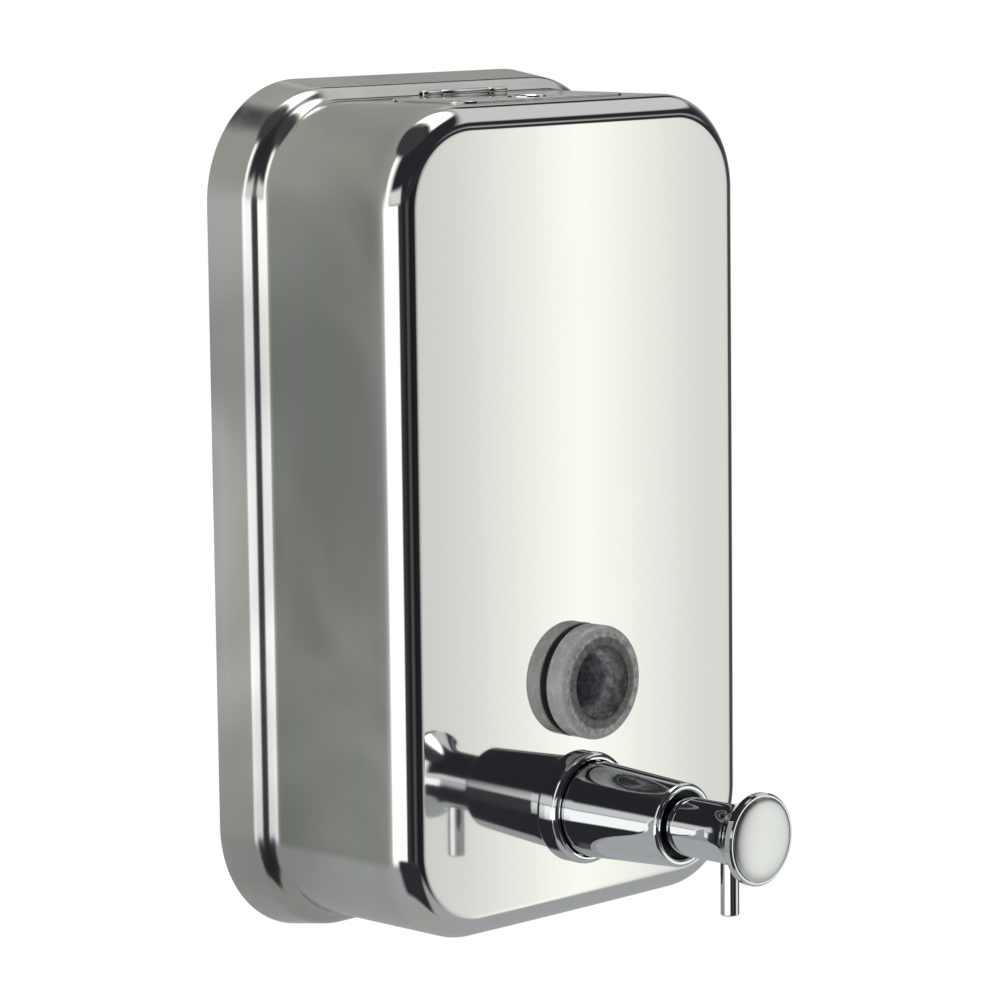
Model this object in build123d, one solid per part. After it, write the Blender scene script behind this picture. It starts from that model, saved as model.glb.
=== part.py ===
from build123d import *
import os
from math import cos, radians, tan

# Wall mounted liquid soap dispenser with a push-button piston pump. Sizes are in millimetres.
# Origin: on the wall, at the centre of the wall bracket's four screw holes.
# +X is right for a person who faces the dispenser, +Y points into the wall, +Z is up.

# Tank case, drawn from sheet. Its outline is a rounded rectangle about the origin.
HALF_W, HALF_H = 57.5, 96.0
CORNER = 23.0
SHEET = 0.9
FACE_Y = -59.4
FACE_ROUND = 5.9

# Back flange of the case: a drafted skirt that bends back in to the body's side walls
FLANGE_OUT = 5.0
FLANGE_BACK_Y = -0.8
FLANGE_DRAFT = 8.8
FLANGE_BEND_Y = -12.1
FLANGE_FOOT_Y = -14.6
FLANGE_ROUND = 3.8

# Back pan, which closes the tank inside the flange
PAN_Y = -9.0
PAN_LIP_Y = -2.0
PAN_SHEET = 0.8

# Wall bracket and the rails that hook on it
BRACKET_SHEET = 1.5
BRACKET_W, BRACKET_H = 71.0, 100.0
HOLE_SPACING_X, HOLE_SPACING_Z = 48.0, 76.0
HOLE_R = 2.6
TAB_LOW, TAB_HIGH = 26.0, 42.0
TAB_REACH = 41.0
TAB_FRONT_Y = -5.2
RAIL_SHEET = 0.9
RAIL_WEB_X = 42.5
RAIL_LIP_Y = -2.2
RAIL_LIP_X = 36.8
RAIL_HALF = 52.0
RAIL_FOOT = 8.0

# Fill mouth, lid and lock, on the top
MOUTH_W = 50.0
MOUTH_BACK_Y, MOUTH_FRONT_Y = -26.8, -47.6
MOUTH_CORNER = 3.0
RING_SHEET = 0.8
LID_W = 56.0
LID_FRONT_Y = -50.0
LID_BACK_Y = -24.0
LID_BOTTOM_Z = HALF_H - 0.3
LID_SHEET = 0.8
LID_CORNER = 5.0
LID_GAP = 0.25
HINGE_Y, HINGE_Z = -22.2, HALF_H + 1.0
KNUCKLE_R = 0.9
HINGE_PIN_R = 0.45
KNUCKLE_SPLIT = 8.0
HINGE_HALF = 14.0
LEAF_BACK_Y = -17.8
LEAF_SHEET = 0.4
LOCK_Y = -43.0
LOCK_R = 3.6
LOCK_HEAD_R, LOCK_HEAD_DEEP = 4.6, 0.7
LOCK_NUT_R, LOCK_NUT_DEEP = 4.2, 1.0
PLUG_R = 2.4
PLUG_PROUD = 0.6
KEY_SLOT_W, KEY_SLOT_LONG, KEY_SLOT_DEEP = 1.0, 3.4, 1.5
CAM_TOP_Z = HALF_H - SHEET - RING_SHEET - 0.3  # clears the ledge's underside
CAM_SHEET = 1.0
CAM_W = 5.2
CAM_REACH = 8.6
CAM_SHANK_R = 1.4

# Sight glass
SIGHT_Z = -39.7
SIGHT_R = 13.5
SIGHT_STEM_R = 9.5
SIGHT_BORE_R, SIGHT_WELL_R = 8.3, 6.4
SIGHT_SEAT_Y = FACE_Y - 1.0
SIGHT_FRONT_Y = FACE_Y - 6.2
SIGHT_BACK_Y = FACE_Y + 12.4
SIGHT_EDGE_ROUND = 1.3

# Pump, on its own axis along Y
PUMP_Z = -70.0
BARREL_R, BARREL_TIP_R = 11.3, 9.8
BARREL_BORE_R = 8.0
BARREL_TIP_Y = -91.4
STUB_R = 9.9
STUB_BACK_Y = FACE_Y + 9.4
ESCUTCHEON_R = 13.3
ESCUTCHEON_DEEP = 3.3
BUSH_FRONT_Y, BUSH_BACK_Y = -88.6, -80.0
NECK_R = 6.9
NECK_BACK_Y = -79.0
HEAD_R = 10.7
HEAD_Y = -115.0
FLARE_Y = -103.2
CAP_R = HEAD_R - 0.9
CAP_SEAT_Y = HEAD_Y + 0.7
CAP_DOME = 0.9
DUCT_R = 1.2
CYLINDER_R, CYLINDER_BORE_R = 7.9, 5.8
CYLINDER_FRONT_Y, CYLINDER_BACK_Y = -68.0, -38.0
ROD_R = 2.5
PISTON_FRONT_Y, PISTON_BACK_Y = -65.2, -59.2
GROOVE_FRONT_Y, GROOVE_BACK_Y = -63.2, -61.2
GROOVE_R = 4.3
SPRING_R, SPRING_WIRE_R, SPRING_TURNS = 4.4, 0.45, 6
ELBOW_Y = -32.0
ELBOW_DUCT_R = 1.9
BALL_R = 2.4
BALL_SEAT_R = 1.4
BALL_SEAT_Z = PUMP_Z - 5.5
TUBE_R, TUBE_BORE_R = 3.0, 2.1
SPOUT_Y = -105.2
SPOUT_R, SPOUT_BORE_R = 2.15, 1.4
SPOUT_TOP_Z = PUMP_Z - 3.5
SPOUT_LOW_Z = PUMP_Z - NECK_R - 12.0

RUNNING = 0.05  # radial clearance of a running fit
SEAT_GAP = 0.05  # gap where a part of one body rests on another body


# Helpers


def outline(points, rounds=()):
    """A closed flat face from (x, y) corners; rounds holds (corner's place in the list, radius) pairs."""
    face = make_face(Polyline(*points, close=True))
    for place, radius in rounds:
        x, y = points[place]
        face = fillet(face.vertices().sort_by_distance((x, y, 0))[0], radius)
    return face


def turned(points, z, rounds=()):
    """A part turned about an axis along Y at height z, from (radius, y) corners."""
    return Pos(0, 0, z) * revolve(outline(points, rounds), Axis.Y)


def tube(outer, inner, low_y, high_y, z):
    """A plain ring or tube along Y."""
    return turned([(inner, low_y), (outer, low_y), (outer, high_y), (inner, high_y)], z)


def rod(radius, low_y, high_y, z):
    """A round bar along Y."""
    bar = Cylinder(radius, high_y - low_y)
    return Pos(0, (low_y + high_y) / 2, z) * Rot(90, 0, 0) * bar


def upright(radius, low_z, high_z, y, x=0.0):
    """A round bar along Z."""
    return Pos(x, y, (low_z + high_z) / 2) * Cylinder(radius, high_z - low_z)


def across(radius, low_x, high_x, y, z):
    """A round bar along X."""
    return Pos((low_x + high_x) / 2, y, z) * Rot(0, 90, 0) * Cylinder(radius, high_x - low_x)


def block(low_x, high_x, low_y, high_y, low_z, high_z):
    """A box between two corners."""
    box = Box(high_x - low_x, high_y - low_y, high_z - low_z)
    return Pos((low_x + high_x) / 2, (low_y + high_y) / 2, (low_z + high_z) / 2) * box


def slab(width, back_y, front_y, low_z, high_z, corner):
    """A flat plate on the top, with rounded corners seen from above."""
    shape = RectangleRounded(width, back_y - front_y, corner)
    return Pos(0, (back_y + front_y) / 2, low_z) * extrude(shape, high_z - low_z)


def hexagon_nut(across_flats, bore, low_y, high_y, z):
    """A hexagonal nut along Y."""
    shape = RegularPolygon(across_flats / 2, 6, major_radius=False) - Circle(bore)
    return Pos(0, low_y, z) * Rot(-90, 0, 0) * extrude(shape, high_y - low_y)


def carried_round(section):
    """Carry a wall section round the case's outline; the section's x runs outwards from that outline."""
    reach_w, reach_h = HALF_W - CORNER, HALF_H - CORNER
    bend = revolve(Pos(CORNER, 0, 0) * section, Axis((0, 0, 0), (0, -1, 0)), 90)
    pieces = []
    for quarter, (side_x, side_z) in enumerate([(1, 1), (-1, 1), (-1, -1), (1, -1)]):
        turn = Rot(0, -90 * quarter, 0)
        pieces.append(Pos(side_x * reach_w, 0, side_z * reach_h) * turn * bend)
        half_run = reach_w if quarter % 2 else reach_h
        run = extrude(section, half_run, both=True)
        away = HALF_H if quarter % 2 else HALF_W
        pieces.append(turn * Pos(away, 0, 0) * run)
    return Part() + pieces


def filled_outline(inset, low_y, high_y):
    """A flat plate with the case's outline, drawn in by inset."""
    shape = RectangleRounded(2 * (HALF_W - inset), 2 * (HALF_H - inset), CORNER - inset)
    return Pos(0, high_y, 0) * Rot(90, 0, 0) * extrude(shape, high_y - low_y)


def coil(radius, wire_r, turns, low_y, high_y, z):
    """A compression spring along Y."""
    length = high_y - low_y - 2 * wire_r
    path = Helix(length / turns, length, radius, center=(0, low_y + wire_r, z), direction=(0, 1, 0))
    return sweep(Plane(path @ 0, z_dir=path % 0) * Circle(wire_r), path)


# Tank


def skirt(y):
    """How far the flange's drafted skirt stands out from the body at depth y."""
    return FLANGE_OUT + (y - FLANGE_BACK_Y) * tan(radians(FLANGE_DRAFT))


def front_shell():
    """The drawn case: one sheet from the flange's back edge over the sides to the front face."""
    face_edge = FACE_ROUND + 4.0
    points = [(FLANGE_OUT, FLANGE_BACK_Y), (skirt(FLANGE_BEND_Y), FLANGE_BEND_Y), (0, FLANGE_FOOT_Y)]
    points += [(0, FACE_Y), (-face_edge, FACE_Y)]
    line = FilletPolyline(*points, radius=[FLANGE_ROUND, FLANGE_ROUND, FACE_ROUND])
    section = make_face(Wire(line.edges()).offset_2d(SHEET, side=Side.RIGHT))
    shell = carried_round(section) + filled_outline(face_edge, FACE_Y, FACE_Y + SHEET)
    shell -= rod(SIGHT_STEM_R + 0.2, FACE_Y - 1, FACE_Y + 2, SIGHT_Z)
    shell -= rod(STUB_R + 0.2, FACE_Y - 1, FACE_Y + 2, PUMP_Z)
    back_y, front_y = LID_BACK_Y + LID_GAP, LID_FRONT_Y - LID_GAP
    return shell - slab(LID_W + 2 * LID_GAP, back_y, front_y, HALF_H - 3, HALF_H + 1, LID_CORNER + LID_GAP)


def back_plate():
    """The pan that closes the tank, with a lip that lies against the inside of the flange's skirt."""
    wall = SHEET / cos(radians(FLANGE_DRAFT))
    lip = PAN_SHEET / cos(radians(FLANGE_DRAFT))
    front_y = PAN_Y - PAN_SHEET
    edge = skirt(PAN_Y) - wall - 4.0
    points = [(skirt(PAN_LIP_Y) - wall, PAN_LIP_Y), (skirt(front_y) - wall, front_y), (edge, front_y)]
    points += [(edge, PAN_Y), (skirt(PAN_Y) - wall - lip, PAN_Y)]
    points += [(skirt(PAN_LIP_Y) - wall - lip, PAN_LIP_Y)]
    return carried_round(outline(points)) + filled_outline(-edge, front_y, PAN_Y)


def rail(side):
    """A hanger rail, welded to the pan: foot, web, two lips that hook behind the tabs, and a top stop."""
    x_web, x_out = RAIL_WEB_X, RAIL_WEB_X + RAIL_SHEET
    shape = block(x_web, RAIL_WEB_X + RAIL_FOOT, PAN_Y, PAN_Y + RAIL_SHEET, -RAIL_HALF, RAIL_HALF)
    shape += block(x_web, x_out, PAN_Y, RAIL_LIP_Y, -RAIL_HALF, RAIL_HALF)
    for low in (TAB_LOW, -TAB_HIGH):
        high = low + TAB_HIGH - TAB_LOW
        shape += block(RAIL_LIP_X, x_out, RAIL_LIP_Y - RAIL_SHEET, RAIL_LIP_Y, low, high)
    stop_z = TAB_HIGH + SEAT_GAP
    shape += block(RAIL_LIP_X, x_out, TAB_FRONT_Y - 1.0, RAIL_LIP_Y, stop_z, stop_z + RAIL_SHEET)
    return shape if side > 0 else mirror(shape, Plane.YZ)


def wall_bracket():
    """The plate on the wall. Its four tabs step forward and outward for the rails to hook on."""
    plate = extrude(RectangleRounded(BRACKET_W, BRACKET_H, 6.0), BRACKET_SHEET)
    plate = Rot(90, 0, 0) * plate
    inner = BRACKET_W / 2 - BRACKET_SHEET
    for side in (1, -1):
        for low in (TAB_LOW, -TAB_HIGH):
            high = low + TAB_HIGH - TAB_LOW
            step = block(inner, BRACKET_W / 2, TAB_FRONT_Y, 0, low, high)
            step += block(inner, TAB_REACH, TAB_FRONT_Y, TAB_FRONT_Y + BRACKET_SHEET, low, high)
            plate += step if side > 0 else mirror(step, Plane.YZ)
    for x in (-HOLE_SPACING_X / 2, HOLE_SPACING_X / 2):
        for z in (-HOLE_SPACING_Z / 2, HOLE_SPACING_Z / 2):
            plate -= Pos(x, 0, 0) * rod(HOLE_R, -2 * BRACKET_SHEET, BRACKET_SHEET, z)
    return plate


# Fill mouth, lid and lock


def mouth_ring():
    """The ledge under the lid, round the mouth; the lock's cam bears on its underside."""
    top = HALF_H - SHEET
    back_y, front_y = LID_BACK_Y + 2.6, LID_FRONT_Y - 2.6
    ring = slab(LID_W + 6, back_y, front_y, top - RING_SHEET, top, LID_CORNER + 2)
    return ring - slab(MOUTH_W, MOUTH_BACK_Y, MOUTH_FRONT_Y, top - 2, top + 1, MOUTH_CORNER)


def knuckle(low_x, high_x, bore):
    """One knuckle of the lid's hinge."""
    barrel = across(KNUCKLE_R, low_x, high_x, HINGE_Y, HINGE_Z)
    return barrel - across(bore, low_x - 1, high_x + 1, HINGE_Y, HINGE_Z)


def hinge_leaf():
    """The fixed leaf of the lid's hinge, on the top behind the lid, with a knuckle at each end."""
    leaf = block(-HINGE_HALF, HINGE_HALF, HINGE_Y, LEAF_BACK_Y, HALF_H, HALF_H + LEAF_SHEET)
    clear_y = HINGE_Y + KNUCKLE_R + 0.3
    leaf -= block(-KNUCKLE_SPLIT, KNUCKLE_SPLIT, HINGE_Y - 1, clear_y, HALF_H - 1, HALF_H + 1)
    leaf -= across(HINGE_PIN_R, -HINGE_HALF, HINGE_HALF, HINGE_Y, HINGE_Z)
    for side in (1, -1):
        end = knuckle(KNUCKLE_SPLIT, HINGE_HALF, HINGE_PIN_R)
        leaf += end if side > 0 else mirror(end, Plane.YZ)
    return leaf


def hinge_pin():
    """The pin through the hinge's three knuckles."""
    return across(HINGE_PIN_R, -HINGE_HALF, HINGE_HALF, HINGE_Y, HINGE_Z)


def fill_lid():
    """The lid: a flat plate with the hinge's middle knuckle and a hole for the lock."""
    top_z = LID_BOTTOM_Z + LID_SHEET
    lid = slab(LID_W, LID_BACK_Y, LID_FRONT_Y, LID_BOTTOM_Z, top_z, LID_CORNER)
    lid = fillet(lid.edges().group_by(Axis.Z)[-1], 0.25)
    half = KNUCKLE_SPLIT - 0.3
    lid += block(-half, half, LID_BACK_Y - 1, HINGE_Y, HALF_H + 0.1, top_z)
    lid -= across(HINGE_PIN_R + RUNNING, -half - 1, half + 1, HINGE_Y, HINGE_Z)
    lid += knuckle(-half, half, HINGE_PIN_R + RUNNING)
    return lid - upright(LOCK_R, LID_BOTTOM_Z - 1, top_z + 1, LOCK_Y)


def lid_gasket():
    """A rubber seal under the lid, on the ledge."""
    seat = HALF_H - SHEET + SEAT_GAP
    back_y, front_y = MOUTH_BACK_Y + 0.3, MOUTH_FRONT_Y - 0.3
    seal = slab(MOUTH_W + 5, back_y + 2.0, front_y - 1.6, seat, LID_BOTTOM_Z, LID_CORNER)
    return seal - slab(MOUTH_W + 0.6, back_y, front_y, seat - 1, LID_BOTTOM_Z + 1, MOUTH_CORNER)


def lock_case():
    """The lock's fixed barrel, held in the lid by its head and its ring nut."""
    head_z = LID_BOTTOM_Z + LID_SHEET
    case = upright(LOCK_R, CAM_TOP_Z + 0.1, head_z, LOCK_Y)
    case += upright(LOCK_HEAD_R, head_z, head_z + LOCK_HEAD_DEEP, LOCK_Y)
    case = fillet(case.edges().group_by(Axis.Z)[-1], 0.3)
    return case - upright(PLUG_R + RUNNING, 0, 2 * HALF_H, LOCK_Y)


def lock_ring_nut():
    """A thin round nut that pulls the lock's head down on the lid."""
    nut = upright(LOCK_NUT_R, LID_BOTTOM_Z - LOCK_NUT_DEEP, LID_BOTTOM_Z, LOCK_Y)
    return nut - upright(LOCK_R, 0, 2 * HALF_H, LOCK_Y)


def lock_plug():
    """The part of the lock that turns: a plug with a key slot, and a shank for the cam."""
    top = LID_BOTTOM_Z + LID_SHEET + PLUG_PROUD
    half_w, half_long = KEY_SLOT_W / 2, KEY_SLOT_LONG / 2
    plug = upright(PLUG_R, CAM_TOP_Z, top, LOCK_Y)
    plug += upright(CAM_SHANK_R, CAM_TOP_Z - CAM_SHEET, CAM_TOP_Z, LOCK_Y)
    slot = block(-half_w, half_w, LOCK_Y - half_long, LOCK_Y + half_long, top - KEY_SLOT_DEEP, top + 1)
    return plug - slot


def lock_cam():
    """The tongue that turns under the front rim of the mouth."""
    cam = SlotCenterPoint((CAM_REACH / 2 - 1.2, 0), (CAM_REACH - CAM_W / 2, 0), CAM_W)
    cam = Pos(0, LOCK_Y, CAM_TOP_Z - CAM_SHEET) * extrude(cam, CAM_SHEET)
    return cam - upright(CAM_SHANK_R, 0, 2 * HALF_H, LOCK_Y)


def cam_screw():
    """The screw that holds the cam on the plug."""
    low = CAM_TOP_Z - CAM_SHEET
    screw = fillet(upright(2.0, low - 0.9, low, LOCK_Y).edges().group_by(Axis.Z)[0], 0.3)
    return screw - block(-2.2, 2.2, LOCK_Y - 0.25, LOCK_Y + 0.25, low - 1, low - 0.5)


# Sight glass


def sight_glass():
    """A clear plug with a flange and a stepped well that shows the soap's level."""
    step_y, floor_y = SIGHT_FRONT_Y + 5.2, SIGHT_BACK_Y - 3.0
    points = [(0, floor_y), (SIGHT_WELL_R, floor_y), (SIGHT_WELL_R, step_y), (SIGHT_BORE_R, step_y - 2.2)]
    points += [(SIGHT_BORE_R, SIGHT_FRONT_Y), (SIGHT_R, SIGHT_FRONT_Y), (SIGHT_R, SIGHT_SEAT_Y)]
    points += [(SIGHT_STEM_R, SIGHT_SEAT_Y), (SIGHT_STEM_R, SIGHT_BACK_Y), (0, SIGHT_BACK_Y)]
    return turned(points, SIGHT_Z, [(4, 0.5), (5, SIGHT_EDGE_ROUND)])


def sight_gasket():
    """A rubber washer between the sight glass and the front face."""
    return tube(SIGHT_R - 0.4, SIGHT_STEM_R + 0.1, SIGHT_SEAT_Y, FACE_Y, SIGHT_Z)


def sight_nut():
    """The nut behind the front face that clamps the sight glass."""
    return hexagon_nut(24.0, SIGHT_STEM_R, FACE_Y + SHEET, FACE_Y + SHEET + 4.5, SIGHT_Z)


# Pump, parts that stay with the tank


def pump_escutcheon():
    """The ring at the foot of the pump, with a rounded edge and a shallow groove round the barrel."""
    front = FACE_Y - ESCUTCHEON_DEEP
    points = [(STUB_R + 0.2, FACE_Y), (ESCUTCHEON_R, FACE_Y), (ESCUTCHEON_R, front)]
    points += [(BARREL_R + 0.3, front), (BARREL_R + 0.3, front + 1.2), (STUB_R + 0.2, front + 1.2)]
    return turned(points, PUMP_Z, [(2, 1.5)])


def pump_barrel():
    """The tapered barrel in front of the case, with a threaded stub through it."""
    seat = FACE_Y - ESCUTCHEON_DEEP + 1.2
    points = [(BARREL_BORE_R, BARREL_TIP_Y), (BARREL_TIP_R, BARREL_TIP_Y), (BARREL_R, seat - 4.0)]
    points += [(BARREL_R, seat), (STUB_R, seat), (STUB_R, STUB_BACK_Y), (BARREL_BORE_R, STUB_BACK_Y)]
    return turned(points, PUMP_Z, [(0, 0.7), (1, 0.9), (2, 12.0)])


def neck_bush():
    """The bush that guides the button's neck in the barrel's mouth."""
    return tube(BARREL_BORE_R, NECK_R + RUNNING, BUSH_FRONT_Y, BUSH_BACK_Y, PUMP_Z)


def pump_gasket():
    """The rubber washer inside the case."""
    return tube(13.5, STUB_R + 0.1, FACE_Y + SHEET, FACE_Y + SHEET + 1.0, PUMP_Z)


def pump_nut():
    """The nut that clamps the pump in the case."""
    low = FACE_Y + SHEET + 1.0
    return hexagon_nut(25.0, STUB_R, low, low + 5.0, PUMP_Z)


def pump_cylinder():
    """The cylinder the piston runs in, closed at the back but for the inlet hole."""
    wall_y, inlet_r = CYLINDER_BACK_Y - 2.0, ELBOW_DUCT_R
    points = [(CYLINDER_BORE_R, CYLINDER_FRONT_Y), (CYLINDER_R, CYLINDER_FRONT_Y), (CYLINDER_R, STUB_BACK_Y)]
    points += [(STUB_R, STUB_BACK_Y), (STUB_R, STUB_BACK_Y + 2.2), (CYLINDER_R, STUB_BACK_Y + 2.2)]
    points += [(CYLINDER_R, CYLINDER_BACK_Y), (inlet_r, CYLINDER_BACK_Y), (inlet_r, wall_y)]
    points += [(CYLINDER_BORE_R, wall_y)]
    return turned(points, PUMP_Z)


def cylinder_gland():
    """The plug in the cylinder's front that guides the rod and stops the piston."""
    return tube(CYLINDER_BORE_R, ROD_R + RUNNING, CYLINDER_FRONT_Y, PISTON_FRONT_Y - SEAT_GAP, PUMP_Z)


def inlet_elbow():
    """The elbow behind the cylinder: it holds the inlet ball and turns down to the dip tube."""
    foot_z = BALL_SEAT_Z - 4.5
    elbow = rod(7.2, CYLINDER_BACK_Y, CYLINDER_BACK_Y + 1.6, PUMP_Z)
    elbow += rod(3.8, CYLINDER_BACK_Y, ELBOW_Y, PUMP_Z)
    elbow += upright(4.6, foot_z, PUMP_Z + 4.2, ELBOW_Y)
    elbow += upright(TUBE_BORE_R, foot_z - 6.0, foot_z, ELBOW_Y)
    elbow -= rod(ELBOW_DUCT_R, CYLINDER_BACK_Y - 1, ELBOW_Y, PUMP_Z)
    elbow -= upright(BALL_R + 0.6, BALL_SEAT_Z, PUMP_Z + 2.2, ELBOW_Y)
    return elbow - upright(BALL_SEAT_R, foot_z - 7, BALL_SEAT_Z, ELBOW_Y)


def inlet_ball():
    """The check ball, just clear of its seat's edge."""
    rest = (BALL_R**2 - BALL_SEAT_R**2) ** 0.5 + SEAT_GAP
    return Pos(0, ELBOW_Y, BALL_SEAT_Z + rest) * Sphere(BALL_R)


def dip_tube():
    """The tube that reaches down to the bottom of the tank."""
    top_z, low_z = BALL_SEAT_Z - 4.6, -HALF_H + 4.0
    return upright(TUBE_R, low_z, top_z, ELBOW_Y) - upright(TUBE_BORE_R, low_z - 1, top_z + 1, ELBOW_Y)


# Pump, parts that move with the button


def push_button():
    """The neck and the flared head, with a duct from the rod to the spout."""
    with BuildSketch() as half:
        with BuildLine():
            Line((0, NECK_BACK_Y), (NECK_R, NECK_BACK_Y))
            Line((NECK_R, NECK_BACK_Y), (NECK_R, FLARE_Y))
            flare = Bezier((NECK_R, FLARE_Y), (NECK_R, FLARE_Y - 4.8), (8.2, -110.6), (HEAD_R, -113.2))
            Line(flare @ 1, (HEAD_R, HEAD_Y + 0.5))
            Line((HEAD_R, HEAD_Y + 0.5), (HEAD_R - 0.5, HEAD_Y))
            Line((HEAD_R - 0.5, HEAD_Y), (CAP_R, HEAD_Y))
            Line((CAP_R, HEAD_Y), (CAP_R, CAP_SEAT_Y))
            Line((CAP_R, CAP_SEAT_Y), (0, CAP_SEAT_Y))
            Line((0, CAP_SEAT_Y), (0, NECK_BACK_Y))
        make_face()
    button = Pos(0, 0, PUMP_Z) * revolve(half.sketch, Axis.Y)
    button -= rod(ROD_R, NECK_BACK_Y - 6.0, NECK_BACK_Y + 1, PUMP_Z)
    button -= rod(DUCT_R, SPOUT_Y, NECK_BACK_Y, PUMP_Z)
    button -= upright(SPOUT_R, PUMP_Z - 20, SPOUT_TOP_Z, SPOUT_Y)
    return button - upright(DUCT_R, SPOUT_TOP_Z - 1, PUMP_Z, SPOUT_Y)


def button_cap():
    """The domed disc pressed in the head's front."""
    top_y = HEAD_Y - CAP_DOME
    with BuildSketch() as half:
        with BuildLine():
            Line((0, CAP_SEAT_Y), (CAP_R, CAP_SEAT_Y))
            Line((CAP_R, CAP_SEAT_Y), (CAP_R, HEAD_Y))
            Bezier((CAP_R, HEAD_Y), (CAP_R * 0.6, top_y), (0, top_y))
            Line((0, top_y), (0, CAP_SEAT_Y))
        make_face()
    return Pos(0, 0, PUMP_Z) * revolve(half.sketch, Axis.Y)


def outlet_spout():
    """The short nozzle under the neck, just behind the head."""
    spout = upright(SPOUT_R, SPOUT_LOW_Z, SPOUT_TOP_Z, SPOUT_Y)
    spout = fillet(spout.edges().group_by(Axis.Z)[0], 0.3)
    return spout - upright(SPOUT_BORE_R, SPOUT_LOW_Z - 1, PUMP_Z, SPOUT_Y)


def drip_valve():
    """A soft sleeve in the nozzle, with a slit that keeps it from dripping."""
    low = SPOUT_LOW_Z + 1.0
    valve = upright(SPOUT_BORE_R, low, low + 3.0, SPOUT_Y)
    valve -= upright(SPOUT_BORE_R - 0.5, low + 0.6, low + 4, SPOUT_Y)
    return valve - block(-0.8, 0.8, SPOUT_Y - 0.1, SPOUT_Y + 0.1, low - 1, low + 2)


def piston_rod():
    """The hollow rod from the piston to the button's duct."""
    return tube(ROD_R, DUCT_R, NECK_BACK_Y - 6.0, PISTON_BACK_Y - 3.0, PUMP_Z)


def piston():
    """The piston, on the rod's end, with a groove for its seal and a duct through it."""
    radius = CYLINDER_BORE_R - 0.3
    rod_end_y = PISTON_BACK_Y - 3.0
    points = [(ROD_R, PISTON_FRONT_Y), (radius, PISTON_FRONT_Y), (radius, GROOVE_FRONT_Y)]
    points += [(GROOVE_R, GROOVE_FRONT_Y), (GROOVE_R, GROOVE_BACK_Y), (radius, GROOVE_BACK_Y)]
    points += [(radius, PISTON_BACK_Y), (DUCT_R, PISTON_BACK_Y), (DUCT_R, rod_end_y), (ROD_R, rod_end_y)]
    return turned(points, PUMP_Z)


def piston_seal():
    """The rubber ring in the piston's groove."""
    return tube(CYLINDER_BORE_R - RUNNING, GROOVE_R, GROOVE_FRONT_Y + 0.1, GROOVE_BACK_Y - 0.1, PUMP_Z)


def return_spring():
    """The spring between the piston and the cylinder's back wall, which pushes the button out."""
    front_y, back_y = PISTON_BACK_Y + SEAT_GAP, CYLINDER_BACK_Y - 2.0 - SEAT_GAP
    return coil(SPRING_R, SPRING_WIRE_R, SPRING_TURNS, front_y, back_y, PUMP_Z)


NODES = {
    "wall_bracket": wall_bracket(),
    "front_shell": front_shell(),
    "back_plate": back_plate(),
    "rail_left": rail(-1),
    "rail_right": rail(1),
    "mouth_ring": mouth_ring(),
    "hinge_leaf": hinge_leaf(),
    "hinge_pin": hinge_pin(),
    "sight_glass": sight_glass(),
    "sight_gasket": sight_gasket(),
    "sight_nut": sight_nut(),
    "pump_escutcheon": pump_escutcheon(),
    "pump_barrel": pump_barrel(),
    "neck_bush": neck_bush(),
    "pump_gasket": pump_gasket(),
    "pump_nut": pump_nut(),
    "pump_cylinder": pump_cylinder(),
    "cylinder_gland": cylinder_gland(),
    "inlet_elbow": inlet_elbow(),
    "inlet_ball": inlet_ball(),
    "dip_tube": dip_tube(),
    "fill_lid": fill_lid(),
    "lid_gasket": lid_gasket(),
    "lock_case": lock_case(),
    "lock_ring_nut": lock_ring_nut(),
    "lock_plug": lock_plug(),
    "lock_cam": lock_cam(),
    "cam_screw": cam_screw(),
    "push_button": push_button(),
    "button_cap": button_cap(),
    "outlet_spout": outlet_spout(),
    "drip_valve": drip_valve(),
    "piston_rod": piston_rod(),
    "piston": piston(),
    "piston_seal": piston_seal(),
    "return_spring": return_spring(),
}

os.makedirs("parts", exist_ok=True)
for name, shape in NODES.items():
    export_step(shape, f"parts/{name}.step")
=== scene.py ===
"""A wall mounted soap dispenser: polished case, fill lid with a lock, sight glass, push-button pump and bracket."""

import math

import bmesh
import bpy
from bpy.props import FloatProperty, FloatVectorProperty, IntProperty, PointerProperty
from mathutils import Matrix, Vector


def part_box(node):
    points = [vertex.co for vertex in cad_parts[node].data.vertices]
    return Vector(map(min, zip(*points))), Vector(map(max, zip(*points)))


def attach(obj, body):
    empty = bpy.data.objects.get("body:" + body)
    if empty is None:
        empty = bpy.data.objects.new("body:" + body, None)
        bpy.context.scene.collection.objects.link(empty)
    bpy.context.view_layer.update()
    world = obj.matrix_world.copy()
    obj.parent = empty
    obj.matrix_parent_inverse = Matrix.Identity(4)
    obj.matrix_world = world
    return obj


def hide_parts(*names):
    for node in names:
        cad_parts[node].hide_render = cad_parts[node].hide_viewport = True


bl_info = {
    "name": "Soap dispenser",
    "version": (1, 0, 0),
    "blender": (4, 5, 0),
    "location": "View3D > Sidebar > Soap dispenser",
    "description": "Builds the pieces and finishes of a wall mounted soap dispenser",
    "category": "Object",
}

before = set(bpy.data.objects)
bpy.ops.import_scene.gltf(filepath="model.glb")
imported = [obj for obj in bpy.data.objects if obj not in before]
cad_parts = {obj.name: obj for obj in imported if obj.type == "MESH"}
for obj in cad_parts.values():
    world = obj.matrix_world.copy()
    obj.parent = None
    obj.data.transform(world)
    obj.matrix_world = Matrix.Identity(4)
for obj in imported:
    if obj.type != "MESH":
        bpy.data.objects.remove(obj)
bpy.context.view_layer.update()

MM = 0.001
SHARP = math.radians(32)


# ---------------------------------------------------------------- sizes and colours a user would change


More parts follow.
